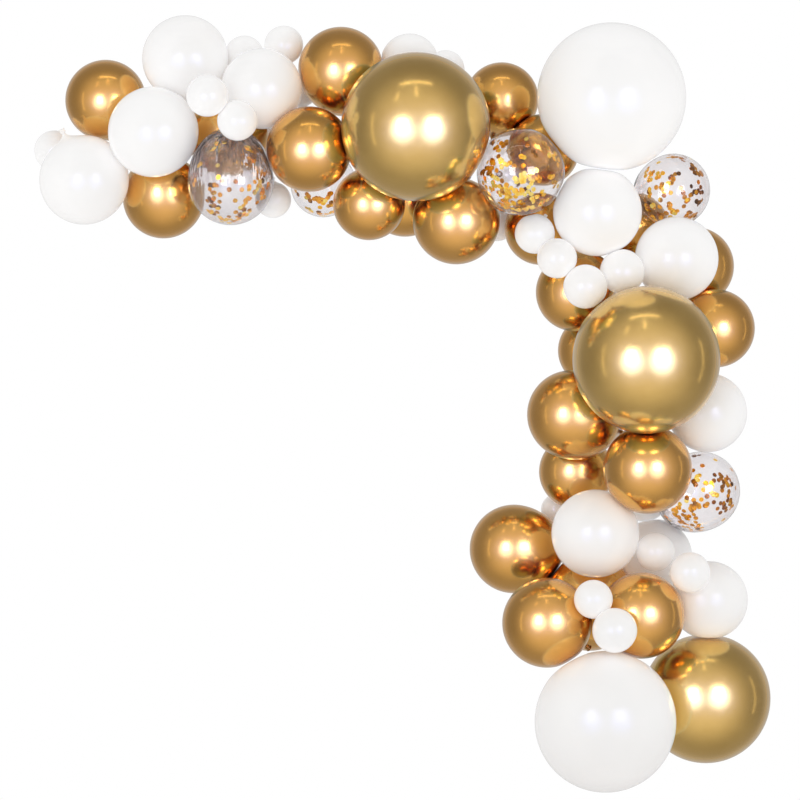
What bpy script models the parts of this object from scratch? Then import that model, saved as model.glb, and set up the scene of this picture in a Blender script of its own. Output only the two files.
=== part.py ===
"""Balloon garland in white, gold and clear confetti balloons: a level run to a corner and a leg
down from it, made to be fixed flat against a wall.

Metres, +Z up. The wall is the plane y = 0 behind the garland and the garland is seen from -Y.
The origin is the flat back of the gold balloon against the wall at the corner.
"""
from math import acos, ceil, cos, pi, radians, sin, sqrt

import bmesh
import bpy
from mathutils import Vector

for old in list(bpy.data.objects):
    bpy.data.objects.remove(old, do_unlink=True)

# Widths of the three sizes of balloon as they are blown.
LARGE = 0.460
MEDIUM = 0.275
SMALL = 0.125

# How far balloons press into each other and into the wall, as shares of the (smaller) radius.
SQUEEZE = 0.09
WALL_PRESS = 0.04
TOUCH = 0.01    # the least that counts as touching

GAP = 0.0003    # left between neighbours
TIE = 0.0020    # how far the two balloons of a tied pair run into each other

# The neck tapers to a small tip. It points as nearly at the garland's middle line as its neighbours
# let it, trying this many ways up to this angle off, and rather back than forward: facing straight
# forward counts as this angle more. The longest tip that clears them is used: (reach beyond the
# balloon's end, tip radius) in radii.
NECK_WAYS = 400
NECK_SWING = radians(62)
NECK_FORWARD = radians(100)
TIPS = ((0.22, 0.10), (0.16, 0.16), (0.10, 0.22))
TIP_SIDES = 6

# The garland's middle line, seen from the front, from the free end to the foot, in medium widths.
MIDDLE = (
    (-6.40, 0.75), (-5.35, 0.90), (-4.45, 1.10), (-3.35, 1.10), (-2.35, 0.90), (-1.45, 0.65),
    (-0.75, 0.40), (-0.15, 0.00), (0.10, -0.80), (0.10, -1.90), (-0.10, -2.90), (-0.25, -3.70),
    (-0.15, -4.60), (0.20, -5.40),
)
MIDDLE_DEPTH = 0.80    # how far the line stands off the wall

# The faceted body: points spread over a whole balloon of each size, the fewest round a flat where
# two balloons press together, those round a flat on the wall, and how far (in steps between two
# points) the spread points keep off a flat's rim. A dent shallower than the last share is left out.
SPREAD = {"large": 110, "medium": 70, "small": 40}
RIM_SIDES = 4
WALL_SIDES = 10
RIM_CLEAR = 0.4
SHALLOW = 0.002
SHARP = radians(40)

# The settling: rounds, and the shares of a distance that one round closes towards the middle
# line and towards a neighbour.
ROUNDS = 800
DRAW_IN = 0.003
DRAW_NEAR = 0.05

WIDTH = {"large": LARGE, "medium": MEDIUM, "small": SMALL}

WALL = Vector((0, 1, 0))    # the way to the wall

# The balloons that lie flat against the wall: the garland is fixed there.
ON_WALL = ("gold_medium_02", "gold_medium_07", "gold_medium_12", "gold_medium_19", "gold_large_3")

# Each balloon: node, finish, size, fill (share of the size's width), x and z of its middle and its
# layer. Places are counted in medium widths, so the whole garland grows with its balloons.
# A balloon of a higher layer lies in front of those of the lower ones that it covers.
# Two rows with the same node are a pair tied together, made as one piece.
BALLOONS = (
    # the level run, from its free end to the corner
    ("white_small_01", "white", "small", 1.00, -6.60, 0.89, 1),
    ("white_medium_01", "white", "medium", 1.02, -6.25, 0.55, 2),
    ("gold_medium_01", "gold", "medium", 0.92, -6.01, 1.46, 1),
    ("white_medium_02", "white", "medium", 1.03, -5.46, 1.09, 3),
    ("gold_medium_02", "gold", "medium", 0.93, -5.35, 0.35, 1),
    ("white_medium_03", "white", "medium", 0.98, -5.10, 1.93, 2),
    ("white_small_02", "white", "small", 1.05, -4.84, 1.49, 4),
    ("gold_medium_03", "gold", "medium", 0.95, -4.61, 1.07, 1),
    ("confetti_1", "confetti", "medium", 0.98, -4.58, 0.52, 2),
    ("white_small_03", "white", "small", 1.01, -4.50, 1.21, 3),
    ("white_small_04", "white", "small", 0.97, -4.43, 1.97, 1),
    ("white_medium_04", "white", "medium", 0.92, -4.23, 1.58, 2),
    ("white_small_05", "white", "small", 0.90, -4.10, 0.32, 1),
    ("white_small_06", "white", "small", 0.97, -3.98, 2.08, 1),
    ("white_small_07", "white", "small", 0.95, -3.80, 1.59, 1),
    ("gold_medium_04", "gold", "medium", 0.97, -3.69, 0.89, 4),
    ("confetti_2", "confetti", "medium", 0.75, -3.53, 0.50, 1),
    ("gold_medium_05", "gold", "medium", 0.97, -3.33, 1.80, 3),
    ("gold_medium_06", "gold", "medium", 0.82, -3.01, 0.27, 2),
    ("gold_medium_07", "gold", "medium", 0.91, -2.60, 0.36, 1),
    ("white_medium_05", "white", "medium", 0.66, -2.55, 1.88, 2),
    ("gold_large_1", "pale_gold", "large", 1.01, -2.48, 1.14, 5),
    ("white_small_08", "white", "small", 0.95, -2.14, 1.81, 1),
    ("gold_medium_08", "gold", "medium", 0.99, -2.02, 0.08, 2),
    ("white_small_09", "white", "small", 1.00, -1.56, 0.08, 1),
    ("gold_medium_09", "gold", "medium", 0.84, -1.50, 1.47, 1),
    ("confetti_3", "confetti", "medium", 1.00, -1.29, 0.63, 4),
    ("gold_medium_10", "gold", "medium", 0.82, -1.03, 0.89, 2),
    # the corner
    ("white_large_1", "white", "large", 1.01, -0.26, 1.48, 3),
    ("gold_medium_11", "gold", "medium", 0.82, -1.06, -0.01, 3),
    ("white_pair_1", "white", "small", 1.00, -1.13, -0.07, 4),
    ("white_pair_1", "white", "small", 1.00, -0.88, -0.35, 5),
    ("white_medium_06", "white", "medium", 1.01, -0.42, 0.18, 4),
    ("gold_medium_12", "gold", "medium", 0.82, 0.00, 0.00, 1),
    ("confetti_4", "confetti", "medium", 0.83, 0.45, 0.43, 2),
    ("white_medium_07", "white", "medium", 0.95, 0.48, -0.35, 3),
    ("gold_medium_13", "gold", "medium", 0.89, 0.70, -0.43, 1),
    # the leg, from the corner to the foot
    ("white_pair_2", "white", "small", 1.12, -0.14, -0.50, 5),
    ("white_pair_2", "white", "small", 1.10, -0.56, -0.67, 6),
    ("gold_medium_14", "gold", "medium", 0.89, -0.67, -0.73, 2),
    ("gold_medium_15", "gold", "medium", 0.89, 0.93, -1.14, 2),
    ("gold_medium_16", "gold", "medium", 0.82, -0.45, -1.39, 1),
    ("gold_large_2", "pale_gold", "large", 1.00, 0.13, -1.50, 6),
    ("white_medium_08", "white", "medium", 0.90, 0.86, -2.12, 3),
    ("gold_medium_17", "gold", "medium", 1.01, -0.71, -2.12, 3),
    ("gold_medium_18", "gold", "medium", 1.01, 0.15, -2.74, 4),
    ("gold_medium_19", "gold", "medium", 0.85, -0.65, -2.77, 2),
    ("confetti_5", "confetti", "medium", 0.90, 0.76, -2.99, 2),
    ("white_small_10", "white", "small", 1.25, 0.12, -3.06, 1),
    ("white_small_11", "white", "small", 0.75, -0.88, -3.20, 1),
    ("white_medium_09", "white", "medium", 1.00, -0.44, -3.47, 3),
    ("gold_medium_20", "gold", "medium", 1.01, -1.36, -3.65, 1),
    ("white_medium_10", "white", "medium", 0.86, 0.24, -3.74, 1),
    ("white_small_12", "white", "small", 0.98, 0.24, -3.68, 4),
    ("white_small_13", "white", "small", 1.01, 0.63, -3.91, 5),
    ("white_medium_11", "white", "medium", 0.89, 0.85, -4.23, 2),
    ("gold_medium_21", "gold", "medium", 1.10, -0.50, -4.26, 1),
    ("white_pair_3", "white", "small", 0.97, -0.47, -4.21, 4),
    ("gold_medium_22", "gold", "medium", 0.98, 0.08, -4.40, 3),
    ("gold_medium_23", "gold", "medium", 1.02, -0.99, -4.48, 2),
    ("white_pair_3", "white", "small", 1.12, -0.23, -4.56, 5),
    ("gold_large_3", "pale_gold", "large", 0.88, 0.82, -5.35, 1),
    ("white_large_2", "white", "large", 0.96, -0.33, -5.60, 4),
)

# The balloons that are less full, and drawn out like an egg towards their neck: the neck's way and
# how many times the balloon's radius that end reaches.
EGGS = {
    "gold_medium_02": ((-0.11, -0.64, 0.76), 1.12),
    "confetti_1": ((0.0, 0.25, 1.0), 1.28),
    "gold_medium_05": ((0.35, 0.30, -1.0), 1.12),
    "confetti_4": ((-0.9, 0.3, -0.4), 1.15),
    "confetti_5": ((-0.85, 0.2, -0.5), 1.18),
    "gold_medium_14": ((0.6, 0.3, 0.8), 1.15),
    "gold_medium_17": ((1.0, 0.3, -0.35), 1.15),
    "gold_medium_20": ((1.0, 0.2, -0.15), 1.15),
}

# Colour, metallic, roughness and transmission of each finish.
FINISHES = {
    "white": ((0.88, 0.87, 0.86, 1.0), 0.0, 0.18, 0.0),
    "gold": ((0.62, 0.30, 0.06, 1.0), 1.0, 0.22, 0.0),
    "pale_gold": ((0.58, 0.42, 0.16, 1.0), 1.0, 0.22, 0.0),
    "confetti": ((0.96, 0.93, 0.88, 0.35), 0.0, 0.05, 1.0),
}


def material(finish):
    """The plain Principled material of one finish."""
    name = f"{finish}_latex"
    if name in bpy.data.materials:
        return bpy.data.materials[name]
    color, metallic, roughness, transmission = FINISHES[finish]
    made = bpy.data.materials.new(name)
    made.use_nodes = True
    made.diffuse_color = color
    shader = made.node_tree.nodes["Principled BSDF"]
    shader.inputs["Base Color"].default_value = color
    shader.inputs["Metallic"].default_value = metallic
    shader.inputs["Roughness"].default_value = roughness
    shader.inputs["Transmission Weight"].default_value = transmission
    shader.inputs["Alpha"].default_value = color[3]
    return made


class Balloon:
    """One balloon: a ball of latex, drawn out towards its neck where it is an egg."""

    def __init__(self, row):
        self.node, self.finish, self.size, fill, x, z, self.layer = row
        self.radius = WIDTH[self.size] * fill / 2
        self.middle = Vector((x * MEDIUM, 0.0, z * MEDIUM))
        way, self.egg = EGGS.get(self.node, (WALL, 1.0))
        self.egg_way = Vector(way).normalized()

    def draw_out(self, point):
        """Where a point of the round ball, measured from its middle, lies on the egg."""
        return point + self.egg_way * max(0.0, point.dot(self.egg_way)) * (self.egg - 1)

    def reach_of(self, way):
        """How far the balloon reaches from its middle in a direction."""
        facing = max(0.0, way.dot(self.egg_way))
        return self.radius * sqrt(1 + (self.egg ** 2 - 1) * facing ** 2)

    def round_plane(self, normal, level):
        """The plane that becomes this one as the ball is drawn out."""
        facing = max(0.0, normal.dot(self.egg_way))
        turned = normal + self.egg_way * facing * (self.egg - 1)
        return turned.normalized(), level / turned.length


def reach(a, b):
    """The distance between the middles of two balloons that press together."""
    way = (b.middle - a.middle).normalized()
    return a.reach_of(way) + b.reach_of(-way) - SQUEEZE * min(a.radius, b.radius)


def tied_pairs(balloons):
    """The first and the second balloon of each tied pair."""
    return [(a, b) for k, a in enumerate(balloons) for b in balloons[k + 1:] if a.node == b.node]


def pair_up(pairs):
    """Bring the second balloon of each tied pair within reach of the first."""
    for first, second in pairs:
        apart = second.middle - first.middle
        second.middle = first.middle + apart * min(1.0, reach(first, second) / apart.length)


def settle(balloons):
    """Find how far each balloon stands off the wall.

    All are drawn towards the middle line and towards the ones that they cover or are covered by,
    and pushed apart where they would press into each other by more than the squeeze. The two of
    a tied pair stay pressed together.
    """
    line = MIDDLE_DEPTH * MEDIUM
    order = sorted(balloons, key=lambda b: b.layer)
    steps = []
    for k, back in enumerate(order):
        for front in order[k + 1:]:
            across = (front.middle - back.middle).length
            tied = front.node == back.node
            if across < reach(front, back) or tied:
                steps.append((front, back, sqrt(max(0.0, reach(front, back) ** 2 - across ** 2)), tied))
    for ball in balloons:
        ball.depth = line
    for _ in range(ROUNDS):
        for ball in balloons:
            ball.depth += DRAW_IN * (line - ball.depth)
        for front, back, step, tied in steps:
            short = step - (front.depth - back.depth)
            move = short / 2 if short > 0 or tied else DRAW_NEAR * short / 2
            front.depth += move
            back.depth -= move
        for ball in balloons:
            flat = ball.radius * (1 - WALL_PRESS)
            ball.depth = flat if ball.node in ON_WALL else max(flat, ball.depth)
    for ball in balloons:
        ball.middle.y = -ball.depth


def press(a, b):
    """How far two balloons press together, as a share of the smaller radius; below 0 they are apart."""
    away = (b.middle - a.middle).length
    return SQUEEZE + (reach(a, b) - away) / min(a.radius, b.radius)


def groups(balloons):
    """The balloons in groups that hang together by touching."""
    found = []
    for ball in balloons:
        near = [group for group in found if any(press(ball, other) > TOUCH for other in group)]
        found = [group for group in found if group not in near] + [sum(near, [ball])]
    return found


def gather(balloons):
    """Draw each group that would come loose to its nearest neighbour until all hang together."""
    while len(groups(balloons)) > 1:
        loose = min(groups(balloons), key=len)
        rest = [other for other in balloons if other not in loose]
        ball, other = max(((a, b) for a in loose for b in rest), key=lambda pair: press(*pair))
        apart = other.middle - ball.middle
        shift = apart * (1 - reach(ball, other) / apart.length)
        for each in loose:
            each.middle += shift


def inward(ball):
    """The direction from the balloon's middle to the nearest point of the garland's middle line."""
    line = [Vector((x, -MIDDLE_DEPTH, z)) * MEDIUM for x, z in MIDDLE]
    nearest = []
    for start, end in zip(line, line[1:]):
        along = (ball.middle - start).dot(end - start) / (end - start).length_squared
        nearest.append(start.lerp(end, min(1.0, max(0.0, along))) - ball.middle)
    return min(nearest, key=lambda way: way.length).normalized()


def limits(ball, balloons):
    """The planes that part the balloon from the wall and its neighbours: (normal, distance from its
    middle)."""
    planes = [(WALL, -ball.middle.y)]
    for other in balloons:
        apart = other.middle - ball.middle
        far = apart.length
        if other is ball or far > sum((b.egg + TIPS[0][0]) * b.radius for b in (ball, other)):
            continue
        way = apart / far
        level = (far ** 2 + ball.reach_of(way) ** 2 - other.reach_of(-way) ** 2) / (2 * far)
        level += TIE / 2 if other.node == ball.node else -GAP / 2
        planes.append((way, level))
    return planes


def ring(way, height, radius, count):
    """Points evenly round a circle that stands square to a direction."""
    side = way.orthogonal().normalized()
    up = way.cross(side)
    turns = [2 * pi * k / count for k in range(count)]
    return [way * height + (side * cos(turn) + up * sin(turn)) * radius for turn in turns]


def spread(count):
    """Directions spread evenly over a ball along a spiral that turns by the golden angle."""
    ways = []
    for k in range(count):
        z = 1 - (2 * k + 1) / count
        turn = pi * (1 + sqrt(5)) * k
        ways.append(Vector((cos(turn) * sqrt(1 - z * z), sin(turn) * sqrt(1 - z * z), z)))
    return ways


def allowed(point, planes):
    """Whether a point lies on the balloon's own side of all its planes."""
    return all(point.dot(normal) < level + GAP / 100 for normal, level in planes)


def neck_points(ball, planes):
    """The ring of points at the end of the balloon's neck."""
    middle_way = inward(ball)
    ways = [way for way in [middle_way] + spread(NECK_WAYS) if way.angle(middle_way) < NECK_SWING]
    ways.sort(key=lambda way: way.angle(middle_way) + NECK_FORWARD * max(0.0, -way.y))
    if ball.egg > 1:
        ways = [ball.egg_way]
    for beyond, tip in TIPS:
        for way in ways:
            end = ring(way, (ball.egg + beyond) * ball.radius, tip * ball.radius, TIP_SIDES)
            if all(allowed(point, planes) for point in end):
                return end
    return []


def flat_points(ball, normal, level):
    """Points round the rim of a flat, on the round ball."""
    rim = sqrt(ball.radius ** 2 - level ** 2)
    steps = 2 * pi * rim / ball.radius / sqrt(4 * pi / SPREAD[ball.size])
    sides = WALL_SIDES if normal == WALL else max(RIM_SIDES, ceil(steps))
    return ring(normal, level, rim, sides)


def balloon_points(ball, balloons):
    """Corner points of the balloon's faceted body, measured from its middle."""
    planes = limits(ball, balloons)
    flats = [ball.round_plane(normal, level) for normal, level in planes]
    flats = [(normal, level) for normal, level in flats if level < ball.radius * (1 - SHALLOW)]
    clear = RIM_CLEAR * sqrt(4 * pi / SPREAD[ball.size])

    def off_flats(way):
        return all(way.angle(normal) > acos(level / ball.radius) + clear for normal, level in flats)

    points = [way * ball.radius for way in spread(SPREAD[ball.size]) if off_flats(way)]
    for normal, level in flats:
        points += flat_points(ball, normal, level)
    points = [ball.draw_out(point) for point in points]
    return [point for point in points if allowed(point, planes)] + neck_points(ball, planes)


def body(ball, balloons):
    """The balloon's closed faceted mesh: the tightest skin over its corner points."""
    shape = bmesh.new()
    for point in balloon_points(ball, balloons):
        shape.verts.new(point)
    skin = bmesh.ops.convex_hull(shape, input=shape.verts)
    inner = set(skin["geom_interior"] + skin["geom_unused"])
    bmesh.ops.delete(shape, geom=[v for v in shape.verts if v in inner], context="VERTS")
    bmesh.ops.recalc_face_normals(shape, faces=shape.faces)
    mesh = bpy.data.meshes.new(ball.node)
    shape.to_mesh(mesh)
    shape.free()
    mesh.shade_smooth()
    mesh.set_sharp_from_angle(angle=SHARP)
    mesh.materials.append(material(ball.finish))
    return mesh


def tie(first, second):
    """Join the second balloon of a tied pair to the first."""
    join = first.modifiers.new("tie", "BOOLEAN")
    join.operation = "UNION"
    join.solver = "EXACT"
    join.object = second
    bpy.context.view_layer.update()
    joined = first.evaluated_get(bpy.context.evaluated_depsgraph_get())
    pair = bpy.data.meshes.new_from_object(joined)
    first.modifiers.clear()
    first.data = pair
    bpy.data.objects.remove(second, do_unlink=True)


def garland():
    """All the balloons as objects, each placed by its middle."""
    balloons = [Balloon(row) for row in BALLOONS]
    pairs = tied_pairs(balloons)
    pair_up(pairs)
    settle(balloons)
    pair_up([pair for pair in pairs if press(*pair) < TOUCH])
    gather(balloons)
    made = {}
    for ball in balloons:
        thing = bpy.data.objects.new(ball.node, body(ball, balloons))
        thing.location = ball.middle
        bpy.context.scene.collection.objects.link(thing)
        if ball.node in made:
            tie(made[ball.node], thing)
        else:
            made[ball.node] = thing


garland()
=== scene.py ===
"""The looks of a balloon garland in white, gold and clear confetti balloons.

Every balloon's middle, radius and neck are read from its solid in the frame. Each one is made
again as a fine skin of latex with a neck, a knot and a rolled lip, pressed softly flat where it
meets its neighbours or the wall. Metres, +Z up, seen from -Y.
"""
from math import cos, pi, radians, sin, sqrt

import bpy
import numpy as np
from mathutils import Matrix, Vector


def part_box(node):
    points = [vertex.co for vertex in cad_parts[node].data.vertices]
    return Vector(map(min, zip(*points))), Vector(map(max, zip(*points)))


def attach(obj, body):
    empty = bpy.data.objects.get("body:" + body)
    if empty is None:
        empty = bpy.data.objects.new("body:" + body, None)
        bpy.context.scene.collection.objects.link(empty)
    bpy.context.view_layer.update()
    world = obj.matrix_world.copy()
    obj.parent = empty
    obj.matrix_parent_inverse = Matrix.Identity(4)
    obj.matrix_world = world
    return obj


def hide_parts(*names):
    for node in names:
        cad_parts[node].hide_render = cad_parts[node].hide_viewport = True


# The photograph is square. This much of the garland's own plane fills it, seen from this far away.
VIEW_WIDTH = 2.500
VIEW_MIDDLE = Vector((-0.731, -0.25, -0.5375))
VIEW_DISTANCE = 60.0
SENSOR = 36.0

# Reading the balls from the solids: tries for each ball, and how near a corner lies to its ball.
FIT_TRIES = 300
FIT_NEAR = 0.00003

# A solid's neck tip, in radii: how far it lies beyond the balloon's end, how wide it is, and how
# nearly a corner fits it.
TIP_BEYOND = 0.22
TIP_RADIUS = 0.10
TIP_NEAR = 0.002

# The skin: the gap between neighbours, how softly a flat turns into the round (share of the
# radius), how nearly a direction faces a flat before it is pressed at all, the distance between
# points round the middle, the fewest and most of them, the share of the rings that the ball takes
# where it has a neck, and how wide the last ring is where it has none.
GAP = 0.0003
SOFT = 0.07
LEAST_FACING = 0.05
POINT_STEP = 0.009
FEWEST_POINTS = 56
MOST_POINTS = 144
BODY_RINGS = 0.8
LAST_RING = 1e-5

# The balloons that are drawn out like an egg, as their solids are: the neck's way and how many
# times the radius that end reaches.
EGGS = {
    "gold_medium_02": ((-0.11, -0.64, 0.76), 1.12),
    "confetti_1": ((0.0, 0.25, 1.0), 1.28),
    "gold_medium_05": ((0.35, 0.30, -1.0), 1.12),
    "confetti_4": ((-0.9, 0.3, -0.4), 1.15),
    "confetti_5": ((-0.85, 0.2, -0.5), 1.18),
    "gold_medium_14": ((0.6, 0.3, 0.8), 1.15),
    "gold_medium_17": ((1.0, 0.3, -0.35), 1.15),
    "gold_medium_20": ((1.0, 0.2, -0.15), 1.15),
}

# The neck, in shares of the balloon's radius: where the pear shape leaves the ball (angle from the
# neck), how far its curve keeps to the ball's own slope and where it turns into the neck, where the
# knot sits, where the tail ends, with what it is longer on every balloon, and the neck's half width,
# with the least that it is.
PEAR_ANGLE = radians(39)
TAPER_PULL = 0.30
TAPER_END = 0.985
KNOT_HEIGHT = 1.125
TAIL_HEIGHT = 1.215
TAIL_MORE = 0.002
NECK_SHARE = 0.026
NECK_LEAST = 0.0018
TAPER_POINTS = 9

# The clear balloons: wall, and the gold foil discs inside, which lean a little (degrees) and differ
# in size (shares of the radius: the least, and what chance adds).
CLEAR_WALL = 0.0004
DISC_RADIUS = 0.0078
DISC_SIDES = 12
DISC_THICKNESS = 0.00012
DISC_LEAN = 9
DISC_LEAST = 0.92
DISC_MORE = 0.16

# How the foil lies: how far inside the wall (the least, and what chance adds), how far a clump
# spreads, how far out one is placed at most and how its discs differ in painted brightness, a
# painted reflection of the dark and bright room. A clump lies on the front wall by a chance that grows
# with its painted brightness. No disc lies on a flat, where the wall is nearer than this share of its
# unpressed reach, or in the neck, where it faces the neck's way more than this. A balloon stands
# upright if its neck rises more than the last share.
FOIL_INSIDE = 0.0006
FOIL_DEPTH = 0.0015
CLUMP_SPREAD = 0.038
CLUMP_REACH = 0.97
PAINTED_BRIGHT_SPREAD = 0.1
FRONT_LEAST = 0.3
FRONT_MORE = 0.5
OFF_FLAT = 0.985
OFF_NECK = 0.96
UPRIGHT = 0.9
SEED = 11

# The names under which a skin keeps its points' places on the unpressed balloon and the foil its
# painted brightness, a painted reflection that makes some discs dark and some pale, for the materials.
PLACE = "balloon_place"
PAINTED_REFLECTION = "foil_painted_reflection"

# Metallic latex: name, the two tones of its clouds and the tone at the neck. Then the roughness of
# both golds and how far it goes up and down.
GOLD = ("gold_latex_skin", (0.735, 0.365, 0.058), (0.81, 0.405, 0.075), (0.52, 0.24, 0.03))
PALE_GOLD = ("pale_gold_latex_skin", (0.70, 0.43, 0.098), (0.77, 0.485, 0.125), (0.52, 0.32, 0.07))
GOLD_ROUGH = 0.18
GOLD_UNEVEN = 0.025

# Clear latex: name, the heights between which it grows thick and pleated, its darkest tone, how
# deep its folds are and how much light goes through. The darkest tone paints the folds mauve-grey:
# partly thicker latex, partly painted reflection of the dark studio in the folds.
PLEATED = ("pleated_clear_latex_skin", -0.20, 0.80, (0.54, 0.48, 0.51), 0.022, 0.95)
CLEAR = ("clear_latex_skin", 0.5, 0.98, (0.66, 0.60, 0.58), 0.003, 1.0)

# The two softboxes: name, azimuth and elevation from the front, distance, size, radiance. Round
# each a cool glow falls off from its core (share of its width) to its rim. It lies behind and below
# (degrees) the softbox, and seen in a second reflection it has faded to a share.
SOFTBOXES = (
    ("left", -20, 5, 12.0, (3.3, 4.4), 9.5),
    ("right", 27, 6, 12.0, (4.0, 4.0), 9.5),
)
GLOW_WIDTH = 11.6
GLOW_LIGHT = 7.5
GLOW_COLOR = (1.02, 1.36, 3.5)
GLOW_CORE = 0.30
GLOW_LATER = 0.2
GLOW_DROP = 8
GLOW_BEHIND = 0.1
FILL_SIZE = (4.0, 4.0)
FILL_LIGHT = 2.5

# The plain panels, given like the softboxes.
PANELS = (
    ("overhead_strip", 2, 72, 12.0, (8.0, 0.5), 2.6),
    ("overhead_beam", 2, 57, 12.0, (0.3, 3.4), 2.4),
    ("left_beam", -36, 46, 12.0, (0.25, 2.6), 2.0),
    ("left_strip", -70, 0, 12.0, (0.5, 9.0), 1.0),
    ("right_strip", 97, 0, 12.0, (0.5, 9.0), 1.0),
)

# How bright the room is by direction. Mirrored in a skin: the backdrop, what it gains when seen
# through clear latex, the walls from the camera's side to the back, and what the floor adds.
# Lighting a matt skin: the walls again, and what comes from below.
BACKDROP_MIRRORED = 0.56
BACKDROP_THROUGH = 0.41
WALLS_MIRRORED = (0.88, 0.34)
BELOW_MIRRORED = 0.10
WALLS_EVEN = (0.78, 0.88)
BELOW_EVEN = 0.34

# The colour of the room in a second reflection, which keeps gold seen in gold from turning orange.
LATER_COLOR = (0.80, 1.42, 2.9)

FLOOR_DROP = 0.45
FLOOR_SIZE = (6.5, 4.2)


def sphere_through(points):
    """Middle and radius of the ball whose skin lies nearest to the points."""
    rows = np.hstack([2 * points, np.ones((len(points), 1))])
    answer = np.linalg.lstsq(rows, (points ** 2).sum(axis=1), rcond=None)[0]
    middle = answer[:3]
    return middle, sqrt(max(0.0, answer[3] + middle @ middle))


def off_skin(points, middle, radius):
    """How far each point lies outside the ball's skin."""
    return np.linalg.norm(points - middle, axis=1) - radius


class Ball:
    """One balloon as the frame gives it: middle, radius and neck."""

    def __init__(self, node, middle, radius):
        self.node = node
        self.middle = middle
        self.radius = radius
        way, self.stretch = EGGS.get(node, ((0.0, 1.0, 0.0), 1.0))
        self.neck = np.array(way) / np.linalg.norm(way)
        self.has_neck = False

    def reach_of(self, way):
        """How far off a plane square to a direction just touches the unpressed balloon."""
        facing = max(0.0, way @ self.neck)
        return self.radius * sqrt(1 + (self.stretch ** 2 - 1) * facing ** 2)

    def find_neck(self, points):
        """Take the neck's way from the points of its tip, where the solid has one."""
        shares = np.linalg.norm(points - self.middle, axis=1) / self.radius
        tip = points[abs(shares - np.hypot(self.stretch + TIP_BEYOND, TIP_RADIUS)) < TIP_NEAR]
        self.has_neck = len(tip) > 0
        if self.has_neck and self.stretch == 1:
            way = tip.mean(axis=0) - self.middle
            self.neck = way / np.linalg.norm(way)


def balls_of(node, count, draw):
    """The balls that a node's solid is made of, with their necks."""
    points = np.array([v.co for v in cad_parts[node].data.vertices], float)
    points = np.unique(points.round(7), axis=0)
    balls = []
    for _ in range(count):
        best = np.zeros(len(points), bool)
        for _ in range(FIT_TRIES):
            few = points[draw.choice(len(points), 4, replace=False)]
            near = abs(off_skin(points, *sphere_through(few))) < FIT_NEAR
            if near.sum() > best.sum():
                best = near
        balls.append(Ball(node, *sphere_through(points[best])))
        points = points[~best]
    for ball in balls:
        ball.find_neck(points)
    return balls


def planes_of(ball, balls):
    """The planes that the balloon is pressed against: (way, distance from its middle)."""
    planes = [(np.array((0.0, 1.0, 0.0)), -ball.middle[1])]
    for other in balls:
        apart = other.middle - ball.middle
        far = np.linalg.norm(apart)
        if other is ball:
            continue
        way = apart / far
        if far < ball.reach_of(way) + other.reach_of(-way):
            level = (far ** 2 + ball.reach_of(way) ** 2 - other.reach_of(-way) ** 2) / (2 * far)
            planes.append((way, level - GAP / 2))
    return [(way, level) for way, level in planes if level < ball.reach_of(way)]


def soft_min(first, second, width):
    """The lesser of two lengths, rounded off where they are nearly the same."""
    share = np.clip(0.5 + 0.5 * (second - first) / width, 0, 1)
    return second * (1 - share) + first * share - width * share * (1 - share)


def press_flat(points, ball, planes):
    """Press points, measured from the ball's middle, softly flat against its planes."""
    far = np.linalg.norm(points, axis=1)
    ways = points / np.maximum(far, 1e-9)[:, None]
    pressed = far.copy()
    for normal, level in planes:
        facing = ways @ normal
        along = level / np.maximum(facing, LEAST_FACING)
        rounded = soft_min(pressed, along, SOFT * ball.radius)
        pressed = np.where(facing > LEAST_FACING, rounded, pressed)
    return ways * pressed[:, None]


def bezier(points, count):
    """Points along a cubic curve, without its first."""
    a, b, c, d = (np.array(p, float) for p in points)
    steps = np.linspace(0, 1, count + 1)[1:, None]
    rest = 1 - steps
    return a * rest ** 3 + 3 * b * rest ** 2 * steps + 3 * c * rest * steps ** 2 + d * steps ** 3


def arc(middle, radius, start, end, count):
    """Points along an arc in the profile's plane, from start to end angle."""
    turns = np.linspace(start, end, count)
    return np.array([(middle[0] + radius * cos(t), middle[1] + radius * sin(t)) for t in turns])


def body_profile(ball, last_turn, rings):
    """The ball's outline from the crown to where the neck leaves it: (height, distance from the axis)."""
    turns = np.linspace(0, last_turn, rings)
    heights = -np.cos(turns)
    heights[heights > 0] *= ball.stretch
    return ball.radius * np.stack([heights, np.sin(turns)], axis=1)


def neck_profile(ball):
    """The outline on from the ball: taper, knot, tail and rolled lip, closed inside the tail.

    The knot, the tail and the lip are drawn in shares of the neck's half width.
    """
    radius = ball.radius
    thin = NECK_SHARE * radius + NECK_LEAST
    lift = (ball.stretch - 1) * radius
    height = KNOT_HEIGHT * radius + lift
    start = radius * np.array((ball.stretch * cos(PEAR_ANGLE), sin(PEAR_ANGLE)))
    down = np.array((ball.stretch * sin(PEAR_ANGLE), -cos(PEAR_ANGLE)))
    inner = (TAPER_END * radius + lift, 1.6 * thin)
    taper = bezier((start, start + TAPER_PULL * radius * down, inner, (height, thin)), TAPER_POINTS)
    knot = arc((height + 1.2 * thin, 0.75 * thin), 0.95 * thin, radians(165), radians(15), 6)
    tail_start = knot[-1] + (0.35 * thin, -0.25 * thin)
    tail_end = np.array((TAIL_HEIGHT * radius + lift + TAIL_MORE, 1.75 * thin))
    pulls = (tail_start + (0.8 * thin, 0), tail_end - (0.9 * thin, 0.3 * thin))
    tail = bezier((tail_start, *pulls, tail_end), 4)
    lip = arc(tail_end + (0, -0.02 * thin), 0.22 * thin, radians(100), radians(-120), 5)
    cup = np.array([(tail_end[0] - 1.1 * thin, 0.9 * thin), (tail_end[0] - 1.6 * thin, 0.3 * thin)])
    return np.vstack([taper, knot, tail_start[None], tail, lip, cup])


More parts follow.
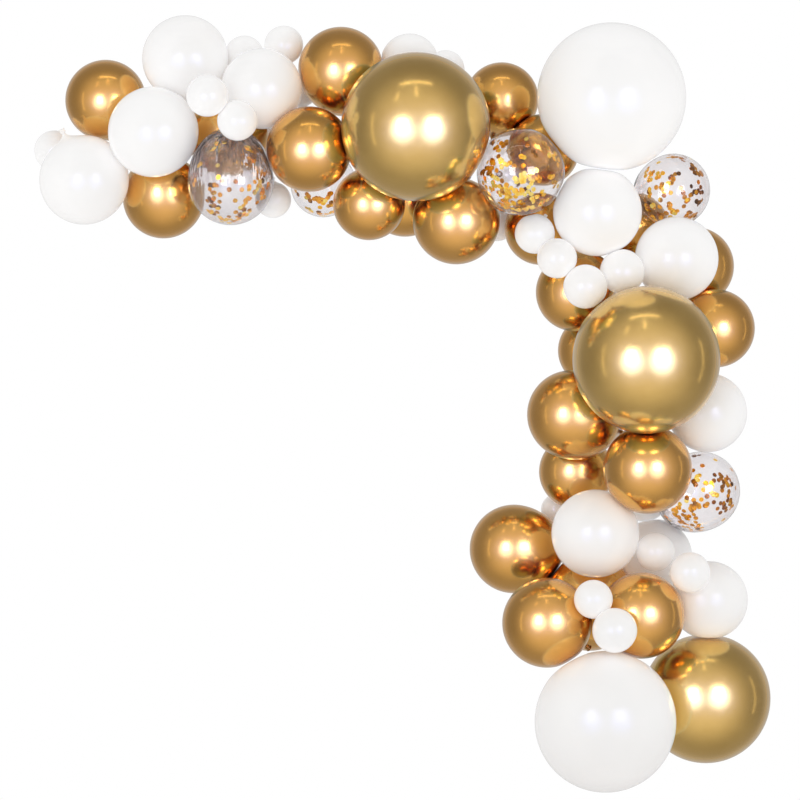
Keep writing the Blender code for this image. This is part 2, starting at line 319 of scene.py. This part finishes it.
def turned(profile, around, closed_end):
    """Points and faces of a profile turned about the height axis, from a pole to a pole or a rim."""
    turns = np.linspace(0, 2 * pi, around, endpoint=False)
    rows = profile[1:]
    ring = np.stack([np.cos(turns), np.sin(turns)], axis=1)
    points = [np.array([[0, 0, profile[0, 0]]])]
    for height, wide in rows:
        points.append(np.hstack([ring * wide, np.full((around, 1), height)]))
    points = np.vstack(points)
    faces = []
    for k in range(around):
        faces.append((0, 1 + (k + 1) % around, 1 + k))
    for row in range(len(rows) - 1):
        base = 1 + row * around
        for k in range(around):
            nxt = (k + 1) % around
            faces.append((base + k, base + nxt, base + around + nxt, base + around + k))
    if closed_end:
        end = len(points)
        points = np.vstack([points, [[0, 0, rows[-1, 0]]]])
        base = 1 + (len(rows) - 1) * around
        for k in range(around):
            faces.append((base + k, base + (k + 1) % around, end))
    return points, faces


def neck_frame(ball):
    """The turn that brings +Z to the way of the ball's neck."""
    return Vector(ball.neck).to_track_quat("Z", "Y").to_matrix()


def skin_parts(ball, balls, shrink=0.0):
    """One balloon's skin drawn in by shrink: points from its middle, faces, and each point's place
    on the unpressed balloon with its neck along +Z."""
    around = int(np.clip(2 * pi * ball.radius / POINT_STEP, FEWEST_POINTS, MOST_POINTS)) // 4 * 4
    rings = around // 2
    if ball.has_neck:
        body = body_profile(ball, pi - PEAR_ANGLE, int(rings * BODY_RINGS))
        profile = np.vstack([body, neck_profile(ball)])
    else:
        profile = body_profile(ball, pi, rings)[:-1]
        profile = np.vstack([profile, [(ball.radius * ball.stretch, LAST_RING)]])
    points, faces = turned(profile, around, True)
    turn = np.array(neck_frame(ball))
    pressed = press_flat(points @ turn.T, ball, planes_of(ball, balls))
    return pressed * (1 - shrink / ball.radius), faces, points


def mesh_object(name, middle, points, faces, material, places=None):
    """An object with a smooth mesh; places are the points' places on their unpressed balloon."""
    mesh = bpy.data.meshes.new(name)
    mesh.from_pydata([tuple(p) for p in points], [], faces)
    if places is not None:
        kept = mesh.attributes.new(PLACE, "FLOAT_VECTOR", "POINT")
        kept.data.foreach_set("vector", places.astype(np.float32).ravel())
    mesh.shade_smooth()
    mesh.materials.append(material)
    thing = bpy.data.objects.new(name, mesh)
    thing.location = middle
    bpy.context.scene.collection.objects.link(thing)
    return thing


def node(tree, kind, **settings):
    """A new node with its settings and plain input values."""
    made = tree.nodes.new(kind)
    for key, value in settings.items():
        if hasattr(made, key) and key not in made.inputs:
            setattr(made, key, value)
        else:
            made.inputs[key].default_value = value
    return made


def new_material(name, **plain):
    """A material with a Principled shader set to plain values, and its node tree."""
    made = bpy.data.materials.new(name)
    made.use_nodes = True
    tree = made.node_tree
    shader = tree.nodes["Principled BSDF"]
    for key, value in plain.items():
        shader.inputs[key.replace("_", " ")].default_value = value
    return made, tree, shader


def ramp(tree, source, *stops):
    """A colour ramp over a value: stops are (place, colour)."""
    made = tree.nodes.new("ShaderNodeValToRGB")
    while len(made.color_ramp.elements) < len(stops):
        made.color_ramp.elements.new(0.5)
    for element, (where, color) in zip(made.color_ramp.elements, stops):
        element.position = where
        element.color = (*color, 1.0)
    tree.links.new(source, made.inputs["Fac"])
    return made.outputs["Color"]


def noise(tree, scale, detail=3.0, stretch=(1, 1, 1), skin=True):
    """Noise over a balloon's own skin, or over an object's axes."""
    mapping = node(tree, "ShaderNodeMapping", Scale=stretch)
    made = node(tree, "ShaderNodeTexNoise", Scale=scale, Detail=detail)
    if skin:
        place = node(tree, "ShaderNodeAttribute", attribute_name=PLACE).outputs["Vector"]
    else:
        place = tree.nodes.new("ShaderNodeTexCoord").outputs["Object"]
    tree.links.new(place, mapping.inputs["Vector"])
    tree.links.new(mapping.outputs["Vector"], made.inputs["Vector"])
    return made.outputs["Fac"]


def feed(tree, socket, value):
    """Give a socket another node's output, a plain colour or a plain number."""
    if isinstance(value, bpy.types.NodeSocket):
        tree.links.new(value, socket)
    elif isinstance(value, tuple):
        socket.default_value = (*value, 1.0)
    else:
        socket.default_value = value


def math(tree, operation, first, second):
    """Two values put together."""
    made = node(tree, "ShaderNodeMath", operation=operation)
    feed(tree, made.inputs[0], first)
    feed(tree, made.inputs[1], second)
    return made.outputs["Value"]


def map_range(tree, source, start, end, low=0.0, high=1.0, smooth=False):
    """A value from start to end turned into one from low to high."""
    kind = "SMOOTHSTEP" if smooth else "LINEAR"
    made = node(tree, "ShaderNodeMapRange", interpolation_type=kind)
    for name, value in (("From Min", start), ("From Max", end), ("To Min", low), ("To Max", high)):
        made.inputs[name].default_value = value
    tree.links.new(source, made.inputs["Value"])
    return made.outputs["Result"]


def spread_value(tree, source, low, high):
    """A noise, which mostly lies between 0.3 and 0.7, spread from low to high."""
    return map_range(tree, source, 0.3, 0.7, low, high)


def roughen(tree, shader, source, low, high):
    """Roughness that a noise spreads from low to high."""
    tree.links.new(spread_value(tree, source, low, high), shader.inputs["Roughness"])


def bump(tree, shader, source, strength, distance):
    """Small unevenness of the skin; its strength is plain or another node's output."""
    made = node(tree, "ShaderNodeBump", Distance=distance)
    feed(tree, made.inputs["Strength"], strength)
    tree.links.new(source, made.inputs["Height"])
    tree.links.new(made.outputs["Normal"], shader.inputs["Normal"])


def toward_neck(tree, start=0.90, end=0.997):
    """0 over the ball and 1 at its neck, by the height of the direction from the ball's middle."""
    place = node(tree, "ShaderNodeAttribute", attribute_name=PLACE)
    unit = node(tree, "ShaderNodeVectorMath", operation="NORMALIZE")
    parts = tree.nodes.new("ShaderNodeSeparateXYZ")
    tree.links.new(place.outputs["Vector"], unit.inputs[0])
    tree.links.new(unit.outputs["Vector"], parts.inputs["Vector"])
    return map_range(tree, parts.outputs["Z"], start, end, smooth=True)


def mixed(tree, share, first, second):
    """One colour turning into another by a share; each is plain or another node's output."""
    made = node(tree, "ShaderNodeMix", data_type="RGBA")
    tree.links.new(share, made.inputs["Factor"])
    feed(tree, made.inputs["A"], first)
    feed(tree, made.inputs["B"], second)
    return made.outputs["Result"]


def chrome_latex(name, low, high, neck):
    """Metallic latex: gold with a clear gloss over it, cloudy and darker at the neck."""
    made, tree, shader = new_material(
        name, Metallic=1.0, Specular_Tint=(0.98, 0.92, 0.82, 1.0),
        Coat_Weight=0.9, Coat_Roughness=0.30, Coat_IOR=1.5)
    clouds = ramp(tree, noise(tree, 7.0, 4.0), (0.35, low), (0.65, high))
    tree.links.new(mixed(tree, toward_neck(tree), clouds, neck), shader.inputs["Base Color"])
    roughen(tree, shader, noise(tree, 45.0, 3.0), GOLD_ROUGH - GOLD_UNEVEN, GOLD_ROUGH + GOLD_UNEVEN)
    bump(tree, shader, noise(tree, 110.0, 2.0), 0.04, 0.001)
    return made


def white_latex():
    """White latex, faintly uneven, more solid at the neck, glowing faintly warm by itself as painted light
    that lifts its shade between balloons.
    """
    # The emission is painted light: a faint warm glow that lifts the shade in the hollows between
    # balloons.
    made, tree, shader = new_material(
        "white_latex_skin", IOR=1.20, Emission_Color=(1.0, 0.965, 0.94, 1.0), Emission_Strength=0.11)
    clouds = ramp(tree, noise(tree, 6.0, 3.0), (0.35, (0.915, 0.91, 0.906)), (0.65, (0.935, 0.932, 0.93)))
    tree.links.new(mixed(tree, toward_neck(tree), clouds, (0.92, 0.90, 0.87)), shader.inputs["Base Color"])
    roughen(tree, shader, noise(tree, 60.0, 3.0), 0.10, 0.14)
    bump(tree, shader, noise(tree, 300.0, 2.0), 0.02, 0.0002)
    return made


def clear_latex(name, start, end, darkest, fold, through):
    """Clear latex: thin and nearly clear at the crown, darker and pleated from a height to the neck."""
    # The warm specular tint is a painted reflection: it warms the skin's reflections as if they mirrored
    # the gold balloons round it.
    made, tree, shader = new_material(
        name, Transmission_Weight=through, IOR=1.45, Specular_Tint=(1.0, 0.87, 0.76, 1.0))
    streaks = noise(tree, 14.0, 3.0, (1.0, 1.0, 0.25))
    thin = ramp(tree, streaks, (0.3, (0.905, 0.88, 0.885)), (0.7, (0.955, 0.94, 0.945)))
    near_neck = toward_neck(tree, start, end)
    pleats = noise(tree, 30.0, 2.0, (1.0, 1.0, 0.14))
    # The pleats' dark mauve-grey is partly thicker latex and partly painted reflection of the dark studio
    # in the folds.
    thick_with_painted_folds = ramp(tree, pleats, (0.42, darkest), (0.5, (0.80, 0.76, 0.79)), (0.57, (0.97, 0.95, 0.97)))
    tree.links.new(mixed(tree, near_neck, thin, thick_with_painted_folds), shader.inputs["Base Color"])
    roughen(tree, shader, noise(tree, 30.0, 2.0), 0.0, 0.05)
    bump(tree, shader, pleats, near_neck, fold)
    return made


def gold_foil():
    """Crisp gold foil, slightly creased, each disc's tone painted from near black to pale yellow by its
    painted brightness as painted reflection and shade of the room, and glowing a little by itself as
    painted light.
    """
    # The emission is painted light: the foil glows a little in its own tone, which brightens it.
    made, tree, shader = new_material("gold_foil", Metallic=1.0, Emission_Strength=0.2)
    painted_reflection = node(tree, "ShaderNodeAttribute", attribute_name=PAINTED_REFLECTION).outputs["Fac"]
    patches = spread_value(tree, noise(tree, 42.0, 1.0, skin=False), -0.16, 0.16)
    # The ramp is painted reflection and shade: dark discs for foil that mirrors the dark room, pale ones
    # for foil that catches the lights.
    tone = ramp(
        tree, math(tree, "ADD", painted_reflection, patches),
        (0.0, (0.12, 0.04, 0.005)), (0.25, (0.40, 0.145, 0.01)), (0.5, (0.86, 0.37, 0.014)),
        (0.75, (1.0, 0.59, 0.035)), (1.0, (1.0, 0.80, 0.20)))
    tree.links.new(tone, shader.inputs["Base Color"])
    tree.links.new(tone, shader.inputs["Emission Color"])
    roughen(tree, shader, noise(tree, 160.0, 2.0, skin=False), 0.14, 0.30)
    bump(tree, shader, noise(tree, 220.0, 2.0, skin=False), 0.25, 0.0006)
    return made


def floor_paint():
    """A plain pale floor, faintly uneven."""
    made, tree, shader = new_material("pale_floor", Specular_IOR_Level=0.0)
    clouds = noise(tree, 3.0, 4.0, skin=False)
    tone = ramp(tree, clouds, (0.3, (0.86, 0.85, 0.845)), (0.7, (0.89, 0.885, 0.88)))
    tree.links.new(tone, shader.inputs["Base Color"])
    roughen(tree, shader, noise(tree, 20.0, 3.0, skin=False), 0.45, 0.6)
    return made


def disc(way, middle, tilt, spin, radius):
    """Points and faces of one foil disc, square to a way but for its tilt."""
    turn = Vector(way).to_track_quat("Z", "Y").to_matrix()
    lean = Matrix.Rotation(spin, 3, "Z") @ Matrix.Rotation(tilt, 3, "X")
    turns = [2 * pi * k / DISC_SIDES for k in range(DISC_SIDES)]
    half = DISC_THICKNESS / 2
    rim = [Vector((radius * cos(t), radius * sin(t), side)) for side in (-half, half) for t in turns]
    points = [tuple(Vector(middle) + turn @ (lean @ p)) for p in rim]
    n = DISC_SIDES
    faces = [tuple(reversed(range(n))), tuple(range(n, 2 * n))]
    faces += [(k, (k + 1) % n, n + (k + 1) % n, n + k) for k in range(n)]
    return points, faces


# Where the foil lies in each clear balloon: loose discs, then the clumps as (right and up of the
# balloon's middle in radii, seen from the front, number of discs, painted brightness from 0 to 1,
# which paints how dark or bright the clump mirrors the room).
CONFETTI = {
    "confetti_1": (18, (
        (-0.30, 0.12, 1, 0.5), (-0.20, 0.04, 1, 0.4), (0.11, 0.02, 1, 0.3), (-0.47, -0.06, 2, 0.1),
        (-0.35, -0.09, 2, 0.4), (-0.48, -0.18, 1, 0.5), (-0.39, -0.24, 1, 0.7), (-0.24, -0.31, 1, 0.5),
        (-0.45, -0.35, 6, 0.6), (-0.47, -0.46, 4, 0.2), (-0.32, -0.57, 2, 0.1), (-0.42, -0.59, 3, 0.6),
        (0.27, -0.19, 1, 0.5), (0.10, -0.43, 1, 0.5), (0.47, -0.17, 2, 0.6), (0.56, 0.78, 3, 0.4),
        (0.51, 0.67, 6, 0.4), (0.51, 0.52, 9, 0.4), (0.77, 0.48, 5, 0.3), (0.71, 0.74, 3, 0.3),
        (0.86, 0.24, 3, 0.5), (0.66, 0.20, 2, 0.3), (0.71, 0.09, 3, 0.1), (0.68, -0.02, 4, 0.4),
        (0.63, -0.14, 4, 1.0), (0.56, -0.23, 1, 0.3), (0.72, -0.20, 2, 0.4), (0.90, -0.09, 3, 0.5),
        (0.79, -0.30, 4, 0.6), (0.63, -0.49, 1, 0.3), (0.40, -0.48, 5, 0.5), (0.32, -0.63, 5, 0.3),
        (0.12, -0.79, 6, 0.6), (0.27, -0.82, 6, 0.7), (-0.30, -0.76, 3, 0.5), (-0.49, -0.70, 3, 0.8),
        (-0.19, -0.89, 7, 0.8), (-0.42, 0.79, 4, 0.9), (-0.36, 0.92, 2, 0.9), (-0.59, 0.96, 3, 0.8),
        (-0.30, 1.11, 2, 1.0), (-0.45, 1.13, 3, 0.8), (-0.74, 0.39, 2, 0.8), (-0.83, -0.06, 2, 0.6),
        (0.42, 0.85, 4, 0.8),
    )),
    "confetti_2": (14, (
        (-0.79, -0.31, 1, 0.2), (-0.39, -0.45, 3, 0.3), (-0.18, -0.43, 12, 0.4), (0.12, -0.41, 2, 0.4),
        (0.25, -0.33, 3, 0.5), (0.0, -0.60, 1, 0.6), (0.18, -0.61, 4, 0.5), (-0.10, -0.72, 1, 0.7),
        (-0.15, -0.85, 1, 0.1), (-0.47, -0.78, 4, 0.8), (0.0, -0.94, 6, 0.6), (0.30, -0.88, 4, 0.6),
    )),
    "confetti_3": (30, (
        (-0.43, 0.60, 5, 0.5), (-0.62, 0.52, 5, 0.6), (-0.60, 0.25, 18, 0.6), (-0.43, 0.21, 5, 1.0),
        (-0.86, -0.01, 4, 0.2), (-0.68, -0.01, 4, 0.3), (-0.51, -0.06, 2, 0.5), (-0.67, -0.28, 12, 0.8),
        (-0.32, -0.20, 9, 0.9), (-0.37, -0.42, 13, 0.7), (-0.48, -0.44, 3, 0.2), (-0.13, -0.49, 9, 0.7),
        (-0.32, -0.66, 16, 0.7), (-0.05, -0.69, 7, 0.5), (-0.02, -0.12, 7, 0.9), (0.22, -0.18, 9, 1.0),
        (0.38, -0.17, 6, 0.5), (0.16, -0.45, 2, 0.0), (0.24, -0.52, 6, 1.0), (0.57, -0.60, 7, 0.8),
        (0.80, -0.28, 5, 0.8), (0.75, -0.12, 3, 0.6), (0.78, 0.31, 9, 0.8), (0.65, 0.58, 6, 0.8),
        (0.33, 0.40, 2, 0.1), (0.16, 0.63, 1, 0.5), (0.27, 0.78, 2, 0.6), (0.03, 0.36, 3, 0.6),
        (-0.14, 0.17, 2, 0.8), (0.37, -0.76, 6, 0.9), (-0.02, -0.88, 8, 0.8), (-0.27, -0.79, 9, 0.7),
    )),
    "confetti_4": (22, (
        (0.57, 0.60, 11, 0.2), (0.65, 0.02, 5, 0.1), (0.33, -0.26, 4, 0.4), (0.69, -0.29, 5, 0.1),
        (0.80, 0.0, 3, 0.2), (0.46, -0.16, 2, 0.3), (-0.07, 0.31, 5, 0.3), (-0.31, 0.09, 9, 0.4),
        (-0.25, 0.0, 6, 0.9), (0.13, 0.45, 1, 0.1), (-0.62, 0.56, 10, 0.7), (-0.43, 0.44, 5, 0.7),
        (-0.70, 0.30, 3, 0.6), (-0.62, -0.02, 2, 0.5), (-0.70, -0.39, 6, 0.3), (-0.55, -0.40, 2, 1.0),
        (-0.31, -0.67, 9, 0.5), (-0.12, -0.40, 3, 0.3), (-0.02, -0.59, 7, 0.6), (-0.62, -0.80, 12, 0.7),
        (0.41, -0.75, 7, 0.4), (0.60, -0.66, 4, 0.4), (-0.12, 0.93, 5, 0.4), (0.25, 0.88, 5, 0.3),
        (0.79, 0.48, 4, 0.4),
    )),
    "confetti_5": (22, (
        (0.56, 0.25, 13, 0.3), (0.73, 0.26, 5, 0.2), (0.34, -0.01, 7, 0.9), (0.16, 0.19, 4, 0.7),
        (0.58, -0.33, 10, 0.3), (0.80, -0.26, 6, 0.4), (-0.13, -0.36, 13, 0.5), (-0.27, -0.63, 11, 0.4),
        (-0.54, -0.56, 7, 0.5), (-0.60, -0.38, 7, 0.7), (-0.86, -0.60, 6, 0.7), (-0.40, -0.82, 8, 0.5),
        (-0.10, -0.90, 9, 0.5), (-0.11, 0.35, 5, 0.9), (-0.16, 0.25, 3, 0.3), (0.06, 0.65, 1, 0.4),
        (0.39, 0.80, 1, 0.7), (0.82, 0.56, 2, 0.5), (0.90, 0.08, 1, 0.3), (0.15, -0.40, 2, 0.3),
    )),
}


def surface_reach(ball, way):
    """How far the skin of the unpressed balloon lies from its middle in a direction."""
    facing = way @ ball.neck
    if facing <= 0:
        return ball.radius
    return ball.radius / sqrt(1 - facing ** 2 + (facing / ball.stretch) ** 2)


def wall_at(way, ball, planes):
    """How far the inner wall lies from the middle in a direction, and its share of the unpressed."""
    inner = surface_reach(ball, way) - CLEAR_WALL
    wall = np.linalg.norm(press_flat((way * inner)[None], ball, planes)[0])
    return wall, wall / inner


def foil_ways(ball, planes, draw):
    """The direction and the painted brightness (painted reflection and shade) of every foil disc in a
    clear balloon.
    """
    loose, clumps = CONFETTI[ball.node]
    found = [(draw.normal(size=3), draw.random()) for _ in range(loose)]
    for right, up, count, painted_bright in clumps:
        tall = ball.stretch if up > 0 and ball.neck[2] > UPRIGHT else 1.0
        fit = min(1.0, CLUMP_REACH / np.hypot(right, up / tall))
        depth = sqrt(1 - (right * fit) ** 2 - (up * fit / tall) ** 2)
        side = 1 if draw.random() > FRONT_LEAST + FRONT_MORE * painted_bright else -1
        middle = np.array((right * fit, side * depth, up * fit))
        if wall_at(middle / np.linalg.norm(middle), ball, planes)[1] < OFF_FLAT:
            middle[1] *= -1
        spread = CLUMP_SPREAD * sqrt(count - 1)
        for _ in range(count):
            way = middle + draw.normal(size=3) * spread
            found.append((way, painted_bright + PAINTED_BRIGHT_SPREAD * draw.normal()))
    return [(way / np.linalg.norm(way), painted_bright) for way, painted_bright in found]


def confetti(ball, balls, draw):
    """All the foil discs in one clear balloon: points from its middle, faces, painted brightness of each
    point.
    """
    planes = planes_of(ball, balls)
    points, faces, painted_tones = [], [], []
    for way, painted_bright in foil_ways(ball, planes, draw):
        wall, share = wall_at(way, ball, planes)
        if share < OFF_FLAT or way @ ball.neck > OFF_NECK:
            continue
        tilt = radians(draw.normal() * DISC_LEAN)
        depth = FOIL_INSIDE + DISC_RADIUS * abs(sin(tilt)) + draw.random() * FOIL_DEPTH
        radius = DISC_RADIUS * (DISC_LEAST + DISC_MORE * draw.random())
        new, sides = disc(way, way * (wall - depth), tilt, draw.random() * 2 * pi, radius)
        faces += [tuple(len(points) + k for k in side) for side in sides]
        points += new
        painted_tones += [painted_bright] * len(new)
    return np.array(points), faces, painted_tones


def soften_world():
    """The plain studio round the garland: white behind, darker in front and above, paler below."""
    world = bpy.data.worlds.new("studio")
    bpy.context.scene.world = world
    world.use_nodes = True
    tree = world.node_tree
    tree.nodes.clear()
    coords = tree.nodes.new("ShaderNodeTexCoord")
    parts = tree.nodes.new("ShaderNodeSeparateXYZ")
    tree.links.new(coords.outputs["Generated"], parts.inputs["Vector"])
    rays = tree.nodes.new("ShaderNodeLightPath")

    def band(axis, start, end, low, high):
        """Brightness that turns from low to high along an axis of the direction."""
        return map_range(tree, parts.outputs[axis], start, end, low, high, smooth=True)

    def either(share, first, second):
        """The first value by a share, and the second by the rest."""
        rest = math(tree, "MULTIPLY", math(tree, "SUBTRACT", 1.0, share), second)
        return math(tree, "ADD", math(tree, "MULTIPLY", share, first), rest)

    walls = band("Y", -1.0, 0.20, *WALLS_MIRRORED)
    front = math(tree, "ADD", walls, band("Z", -0.15, -0.75, 0.0, BELOW_MIRRORED))
    through = math(tree, "MULTIPLY", rays.outputs["Is Transmission Ray"], BACKDROP_THROUGH)
    behind = math(tree, "ADD", BACKDROP_MIRRORED, through)
    glossy = either(band("Y", 0.50, 0.85, 0.0, 1.0), behind, front)
    even_walls = band("Y", -0.9, 0.6, *WALLS_EVEN)
    even = math(tree, "ADD", even_walls, band("Z", 0.2, -0.8, 0.0, BELOW_EVEN))
    soft = either(rays.outputs["Is Diffuse Ray"], even, glossy)
    seen = either(rays.outputs["Is Camera Ray"], 1.0, soft)

    again = map_range(tree, rays.outputs["Glossy Depth"], 1.0, 2.0)
    not_through = math(tree, "LESS_THAN", rays.outputs["Transmission Depth"], 0.5)
    mirrored = math(tree, "MULTIPLY", rays.outputs["Is Glossy Ray"], not_through)
    tint = mixed(tree, math(tree, "MULTIPLY", again, mirrored), (1.0, 1.0, 1.0), LATER_COLOR)
    light = tree.nodes.new("ShaderNodeBackground")
    tree.links.new(tint, light.inputs["Color"])
    tree.links.new(seen, light.inputs["Strength"])
    output = tree.nodes.new("ShaderNodeOutputWorld")
    tree.links.new(light.outputs["Background"], output.inputs["Surface"])


def way_from_front(azimuth, elevation):
    """A direction by its angles from the camera's side."""
    turn, rise = radians(azimuth), radians(elevation)
    return Vector((sin(turn) * cos(rise), -cos(turn) * cos(rise), sin(rise)))


def light_panel(name, azimuth, elevation, distance, size, radiance):
    """A flat light panel facing the garland's middle, seen in reflections only."""
    way = way_from_front(azimuth, elevation)
    lamp = bpy.data.lights.new(name, "AREA")
    lamp.shape = "RECTANGLE"
    lamp.size, lamp.size_y = size
    lamp.energy = radiance * pi * size[0] * size[1]
    thing = bpy.data.objects.new(name, lamp)
    thing.location = VIEW_MIDDLE + way * distance
    thing.rotation_euler = way.to_track_quat("Z", "Y").to_euler()
    thing.visible_camera = False
    thing.visible_diffuse = False
    bpy.context.scene.collection.objects.link(thing)
    return thing


def softbox(name, azimuth, elevation, distance, size, radiance):
    """One softbox: its panel, the cool glow round it and the light that it throws."""
    light_panel(f"{name}_softbox", azimuth, elevation, distance, size, radiance)
    fill = light_panel(f"{name}_fill", azimuth, elevation, distance, FILL_SIZE, FILL_LIGHT)
    fill.visible_diffuse = True
    fill.visible_glossy = False
    fill.visible_transmission = False
    glow = light_panel(
        f"{name}_glow", azimuth, elevation - GLOW_DROP, distance + GLOW_BEHIND,
        (GLOW_WIDTH, GLOW_WIDTH), GLOW_LIGHT)
    glow.visible_transmission = False
    lamp = glow.data
    lamp.color = GLOW_COLOR
    lamp.use_nodes = True
    tree = lamp.node_tree
    place = node(tree, "ShaderNodeNewGeometry")
    apart = node(tree, "ShaderNodeVectorMath", operation="DISTANCE")
    apart.inputs[1].default_value = (0.5, 0.5, 0.0)
    tree.links.new(place.outputs["Parametric"], apart.inputs[0])
    falling = map_range(tree, apart.outputs["Value"], 0.5, 0.5 * GLOW_CORE, smooth=True)
    depth = node(tree, "ShaderNodeLightPath")
    later = map_range(tree, depth.outputs["Ray Depth"], 1.0, 2.0, 1.0, GLOW_LATER)
    strength = math(tree, "MULTIPLY", falling, later)
    tree.links.new(strength, tree.nodes["Emission"].inputs["Strength"])


def studio():
    """Lights, floor and camera."""
    soften_world()
    for settings in SOFTBOXES:
        softbox(*settings)
    for settings in PANELS:
        light_panel(*settings)
    low =min(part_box(name)[0].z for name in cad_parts)
    bpy.ops.mesh.primitive_plane_add(size=1, location=(VIEW_MIDDLE.x, 0, low - FLOOR_DROP))
    floor = bpy.context.object
    floor.name = "floor"
    floor.scale = (*FLOOR_SIZE, 1)
    floor.data.materials.append(floor_paint())
    floor.visible_glossy = False
    data = bpy.data.cameras.new("camera")
    data.sensor_width = SENSOR
    data.lens = SENSOR * VIEW_DISTANCE / VIEW_WIDTH
    data.clip_end = 3 * VIEW_DISTANCE
    camera = bpy.data.objects.new("camera", data)
    camera.location = VIEW_MIDDLE - Vector((0, VIEW_DISTANCE, 0))
    camera.rotation_euler = (pi / 2, 0, 0)
    bpy.context.scene.collection.objects.link(camera)
    bpy.context.scene.camera = camera
    bpy.context.scene.view_settings.view_transform = "Standard"


def dress(balls, materials, foil, draw):
    """Make every balloon's fine skin in place of its solid, and the foil inside the clear ones.

    A balloon takes the first of the materials whose name its own name starts with.
    """
    by_node = {}
    for ball in balls:
        by_node.setdefault(ball.node, []).append(ball)
    for name, own in by_node.items():
        kind = next(k for k in materials if name.startswith(k))
        material, slot = materials[kind]
        middle = own[0].middle
        points, faces, places = [], [], []
        for ball in own:
            for shrink in (0.0, CLEAR_WALL) if name in CONFETTI else (0.0,):
                skin, sides, on_ball = skin_parts(ball, balls, shrink)
                if shrink > 0:
                    sides = [tuple(reversed(side)) for side in sides]
                start = sum(len(part) for part in points)
                faces += [tuple(start + k for k in side) for side in sides]
                points.append(skin + ball.middle - middle)
                places.append(on_ball)
        thing = mesh_object(f"{name}_skin", middle, np.vstack(points), faces, material, np.vstack(places))
        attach(thing, "root")
        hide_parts(name)
        if name in CONFETTI:
            points, faces, painted_tones = confetti(own[0], balls, draw)
            bits = mesh_object(f"{name}_foil", middle, points, faces, foil)
            # Each disc's painted brightness goes to the foil's material, where it paints reflection and
            # shade.
            bits.data.attributes.new(PAINTED_REFLECTION, "FLOAT", "POINT").data.foreach_set("value", painted_tones)
            bits.data.shade_flat()
            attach(bits, "root")


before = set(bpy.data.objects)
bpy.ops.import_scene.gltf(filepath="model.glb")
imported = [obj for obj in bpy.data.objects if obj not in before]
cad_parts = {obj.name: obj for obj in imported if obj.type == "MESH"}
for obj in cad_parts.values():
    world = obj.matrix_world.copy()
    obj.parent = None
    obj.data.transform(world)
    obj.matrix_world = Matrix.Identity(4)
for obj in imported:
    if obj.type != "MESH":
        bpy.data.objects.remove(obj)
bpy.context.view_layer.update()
chance = np.random.default_rng(SEED)
all_balls = []
for node_name in sorted(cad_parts):
    all_balls += balls_of(node_name, 2 if node_name.startswith("white_pair") else 1, chance)
gold_foil_skin = gold_foil()
gold = chrome_latex(*GOLD)
pale_gold = chrome_latex(*PALE_GOLD)
dress(all_balls, {
    "white": (white_latex(), "white_latex"),
    "gold_large": (pale_gold, "pale_gold_latex"),
    "gold_medium": (gold, "gold_latex"),
    "confetti_1": (clear_latex(*PLEATED), "clear_latex"),
    "confetti": (clear_latex(*CLEAR), "clear_latex"),
}, gold_foil_skin, chance)
studio()
